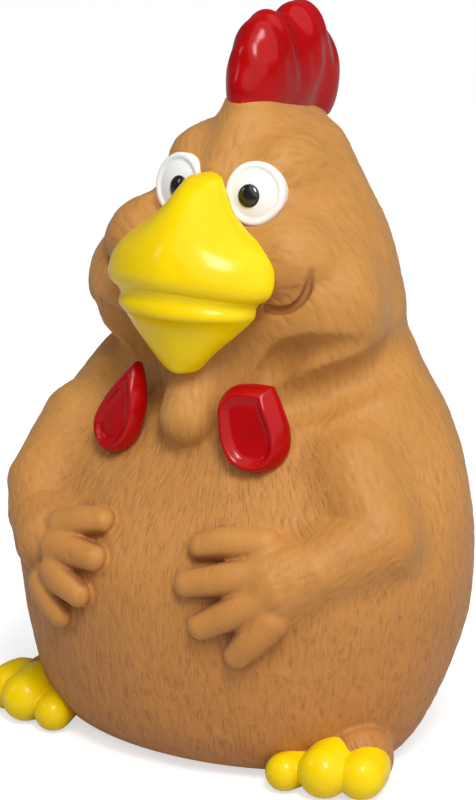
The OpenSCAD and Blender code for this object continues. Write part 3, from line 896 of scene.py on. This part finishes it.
def section_field(clay, rows, power):
    """A loft of ridged sections given by rows of height, half width, front and middle."""
    line = smooth_path(rows, 200)
    _, x, y, z = clay.grid()
    a, front, middle = (np.interp(z, line[:, 0], line[:, k]) for k in (1, 2, 3))
    # The rear is short, so that it stays inside the head
    depth = np.where(y < middle, middle - front, 5 - 2.6 * ease(z, 106, 117))
    power = power + (2 - power) * ease(z, 108, 116)
    share = ((np.abs(x) / a) ** power + (np.abs(y - middle) / depth) ** power) ** (1 / power)
    clay.field = ((share - 1) * a * 0.8).astype(np.float32)
    clay.level()
    clay.keep(lambda x, y, z: np.maximum(line[0, 0] - z, z - line[-1, 0]), 1)


def mouth_line(x):
    """Height of the mouth line, arched in the middle and dropping at the corners."""
    return MOUTH_Z + 1.3 - 0.0085 * x * x


def beak_halves():
    """The halves' clay; the lower has a core in the upper, so the mouth is a crease."""
    box = ((-23, -35, 76), (23, 2, 123))
    upper = Clay(*box, PAINT_STEP)
    section_field(upper, BEAK_TOP, 1.65)
    core = Clay(*box, PAINT_STEP)
    core.field = upper.field + 1.0
    core.keep(lambda x, y, z: np.abs(z - mouth_line(x)) - 3, 1.0)
    upper.keep(lambda x, y, z: mouth_line(x) - 0.2 - z, 6.0)
    lower = Clay(*box, PAINT_STEP)
    section_field(lower, BEAK_LOW, 1.8)
    lower.keep(lambda x, y, z: z - mouth_line(x) - 0.1, 2.6)
    lower.field = smooth_min(lower.field, core.field, 1.3)
    return {"upper_beak": upper, "lower_beak": lower}


def build_beak():
    for name, clay in beak_halves().items():
        points, quads = clay.surface(3)
        points = points + clay.normals(points) * (0.05 * wobble(points, 14, 31))[:, None]
        piece = make_mesh("hen_" + name, points, quads, yellow)
        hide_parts(name)
        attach(piece, "head")


# ---- Eyes ----

def lathe(name, profile, material, side, offset=(0, 0), turns=72):
    """Turned piece on an eye's axis, from rows of radius and height."""
    across, raised, ahead = eye_axes()
    angle = 2 * math.pi * np.arange(turns) / turns
    rings = []
    for r, h in profile:
        u = r * np.cos(angle) + offset[0]
        v = r * np.sin(angle) * EYE_TALL + offset[1]
        rings.append(u[:, None] * across + v[:, None] * raised + h * ahead)
    points = np.vstack(rings) + EYE_MIDDLE
    first = np.arange(len(profile) - 1)[:, None] * turns
    a = (first + np.arange(turns)).ravel()
    b = (first + (np.arange(turns) + 1) % turns).ravel()
    quads = np.stack([a, b, b + turns, a + turns], 1)
    last = (len(profile) - 1) * turns
    ends = [list(range(turns))[::-1], list(range(last, last + turns))]
    if side < 0:
        points[:, 0] *= -1
        quads = quads[:, ::-1]
        ends = [end[::-1] for end in ends]
    return make_mesh(name, points, quads, material, ends=ends)


def eye_profile():
    """A raised rim round a domed middle."""
    edge = EYE_R + 0.1
    inner = edge - 1.4
    rim = [[edge - 0.2, -3], [edge, -2.5], [edge, -0.15], [edge - 0.12, 0.15], [edge - 0.4, 0.36],
           [edge - 0.8, 0.4], [edge - 1.15, 0.28], [inner, 0.1]]
    dome = [[inner * (1 - t), 0.1 + 0.75 * (1 - (1 - t) ** 2)]
            for t in np.linspace(0.08, 0.98, 12)]
    return rim + dome


def pupil_profile():
    """A small dome on a wall that stands in the eye."""
    dome = [[PUPIL_R * math.sin(t), 0.7 + 0.85 * math.cos(t)]
            for t in np.linspace(math.pi / 2, 0.04, 9)][1:]
    return [[PUPIL_R, -0.8], [PUPIL_R, 0.7]] + dome


def build_eyes():
    for side, word in ((1, "left"), (-1, "right")):
        eye = lathe(f"hen_{word}_eye", eye_profile(), white, side)
        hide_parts(f"{word}_eye")
        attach(eye, "head")
        dot = lathe(f"hen_{word}_pupil", pupil_profile(), black, side, (-0.9, -0.5), 48)
        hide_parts(f"{word}_pupil")
        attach(dot, "head")


# ---- Wattles ----

# Outlines of the left and right wattles: side distance and height, from the top round
WATTLES = {
    1: [(18.2, 78.6), (20.3, 74.8), (22.2, 70.2), (22.4, 66.0), (20.4, 62.9), (16.6, 61.9),
        (12.6, 63.2), (9.8, 66.9), (8.4, 71.6), (8.2, 75.4), (10.4, 78.1), (14.2, 78.9)],
    -1: [(13.2, 79.6), (16.6, 76.4), (20.2, 72.2), (22.6, 67.4), (21.8, 63.2), (18.2, 60.8),
         (13.8, 61.6), (10.6, 65.4), (9.6, 70.4), (10.4, 75.4), (12.0, 78.8)]}


def loop_distance(x, z, loop):
    """Signed distance in the XZ plane to a closed loop, negative inside."""
    near, inside = np.full(np.broadcast_shapes(x.shape, z.shape), 1e9), False
    tiny = 1e-9
    for a, b in zip(loop, np.roll(loop, -1, 0)):
        run = b - a
        t = np.clip(((x - a[0]) * run[0] + (z - a[1]) * run[1]) / (run @ run), 0, 1)
        near = np.minimum(near, np.hypot(x - a[0] - t * run[0], z - a[1] - t * run[1]))
        crosses = (a[1] > z) != (b[1] > z)
        slope = run[0] / (run[1] if abs(run[1]) > tiny else tiny)
        inside = inside ^ (crosses & (x < a[0] + (z - a[1]) * slope))
    return np.where(inside, -near, near)


def wattle_lie(x, z):
    """Y of the sheet that a wattle lies on, which leans and curves with the chest."""
    return -19.4 - 0.22 * (79 - z) + 0.27 * (x - 14) + 0.012 * (x - 16) ** 2


def wattle_clay(side):
    """A shield-shaped lobe: a raised rim at the sides and bottom, dished between."""
    loop = smooth_path(WATTLES[side] + WATTLES[side][:1], 72)[:-1]
    clay = Clay((4, -32, 57), (29, -8, 85), PAINT_STEP * 0.8)
    _, x, y, z = clay.grid()
    edge = loop_distance(x, z, loop)
    off = wattle_lie(x, z) - y
    rim = np.exp(-((edge + 1.6) / 1.0) ** 2) * (1 - 0.8 * ease(z, 74, 79))
    face = off - 1.1 - 1.4 * rim
    back = -off - 3.2
    sheet = -smooth_min(-face, -back, 0.5)
    clay.field = (-smooth_min(-sheet, -edge, 2.4)).astype(np.float32)
    clay.level()
    return clay


def build_wattles():
    for side, word in ((1, "left"), (-1, "right")):
        clay = wattle_clay(side)
        points, quads = clay.surface(3)
        points = points + clay.normals(points) * (0.05 * wobble(points, 9, 41 + side))[:, None]
        if side < 0:
            points[:, 0] *= -1
            quads = quads[:, ::-1]
        piece = make_mesh(f"hen_{word}_wattle", points, quads, red)
        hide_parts(f"{word}_wattle")
        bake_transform(piece)


# ---- Feet ----

# Each toe from its root to its tip: balls of x, y, z and radius
TOES = [[[31.2, -18.5, 4.4, 4.2], [29.8, -23.0, 4.3, 4.2], [28.3, -28.5, 3.9, 3.9]],
        [[36.0, -17.5, 5.2, 5.2], [36.2, -22.0, 5.6, 5.6], [36.4, -27.0, 5.2, 5.2]],
        [[39.8, -18.5, 4.8, 4.5], [42.2, -20.5, 5.3, 4.9], [43.2, -24.2, 5.0, 4.8]]]


def build_feet():
    clay = Clay((20, -36, -1), (52, -4, 14), PAINT_STEP)
    for toe in TOES:
        clay.add(tube(smooth_path(toe, 7)), 0.4)
    clay.keep(lambda x, y, z: 0.02 - z, 1.0)
    points, quads = clay.surface(3)
    bumps = 0.05 * wobble(points, 5, 51) * ease(points[:, 2], 0.5, 2)
    points = points + clay.normals(points) * bumps[:, None]
    for side, word in ((1, "left"), (-1, "right")):
        placed = points * [side, 1, 1]
        piece = make_mesh(f"hen_{word}_foot", placed, quads[:, ::side], yellow)
        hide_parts(f"{word}_foot")
        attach(piece, "body")


def dress_squeaker():
    """The squeaker keeps its CAD shapes, in milky plastic and clear film."""
    clear = plastic("milky_plastic", (0.85, 0.85, 0.8, 1), 0.35, 0.32)
    thin = plastic("clear_film", (0.75, 0.84, 0.88, 1), 0.7, 0.12)
    for name in ("squeaker_cup", "sound_block", "reed_clamp", "air_cap", "reed"):
        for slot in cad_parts[name].material_slots:
            slot.material = thin if name == "reed" else clear


# ---- Studio ----

LIT_HEIGHT = 0.07


def direction(azimuth, elevation):
    """Towards an azimuth, in degrees from the front to the hen's left, and an elevation."""
    a, e = math.radians(azimuth), math.radians(elevation)
    return Vector((math.sin(a) * math.cos(e), -math.cos(a) * math.cos(e), math.sin(e)))


def build_floor():
    """Pale floor just under the base, a little brighter to the camera than to the light."""
    n = Nodes("studio_floor")
    shade = n.mix(n.range(n.noise(0.004, 2), 0.3, 0.7), (0.6, 0.6, 0.6, 1), (0.62, 0.62, 0.62, 1))
    seen = n.put("ShaderNodeLightPath").outputs["Is Camera Ray"]
    n.set(Base_Color=shade, Roughness=0.85, Emission_Color=(1, 1, 1, 1),
          Emission_Strength=n.maths("MULTIPLY", seen, 0.62))
    reach, below = 6.0, -0.0001
    corners = [(x * reach, y * reach, below) for x, y in ((-1, -1), (1, -1), (1, 1), (-1, 1))]
    mesh = bpy.data.meshes.new("floor")
    mesh.from_pydata(corners, [], [(0, 1, 2, 3)])
    mesh.materials.append(n.material)
    floor = bpy.data.objects.new("floor", mesh)
    bpy.context.collection.objects.link(floor)


def softbox(name, azimuth, elevation, distance, size, watts):
    """Rectangular light that faces the hen from an azimuth and an elevation."""
    lamp = bpy.data.lights.new(name, "AREA")
    lamp.shape = "RECTANGLE"
    lamp.size, lamp.size_y = size
    lamp.energy = watts
    place = direction(azimuth, elevation)
    light = bpy.data.objects.new(name, lamp)
    light.location = place * distance + Vector((0, 0, LIT_HEIGHT))
    light.rotation_euler = place.to_track_quat("Z", "Y").to_euler()
    bpy.context.collection.objects.link(light)


def open_sky():
    """Broad soft light from above, over the hen's left side."""
    sky = bpy.data.lights.new("sky", "SUN")
    sky.angle = math.radians(100)
    sky.energy = 1.8
    above = bpy.data.objects.new("sky", sky)
    above.rotation_euler = Vector((0.75, -0.35, 1)).to_track_quat("Z", "Y").to_euler()
    bpy.context.collection.objects.link(above)


def build_studio():
    build_floor()
    softbox("key", 42, 50, 0.75, (0.2, 0.3), 3.45)
    softbox("fill", -48, 34, 0.8, (0.12, 0.2), 0.36)
    open_sky()
    world = bpy.data.worlds.new("studio")
    world.use_nodes = True
    world.node_tree.nodes["Background"].inputs["Color"].default_value = (1, 1, 1, 1)
    world.node_tree.nodes["Background"].inputs["Strength"].default_value = 0.14
    bpy.context.scene.world = world
    bpy.context.scene.view_settings.view_transform = "Standard"


def build_camera():
    """Camera at the photo's angle, on the hen's left and a little above it."""
    back = direction(32.53, 15.94)
    aim, distance = Vector((-0.00316, 0.00362, 0.06763)), 0.5601
    lens = bpy.data.cameras.new("camera")
    lens.sensor_width = 36
    lens.lens = 122.04
    lens.clip_start = 0.01
    camera = bpy.data.objects.new("camera", lens)
    camera.location = aim + back * distance
    camera.rotation_euler = back.to_track_quat("Z", "Y").to_euler()
    bpy.context.collection.objects.link(camera)
    bpy.context.scene.camera = camera


build_camera()
build_studio()
build_skin()
build_comb()
build_beak()
build_eyes()
build_wattles()
build_feet()
dress_squeaker()
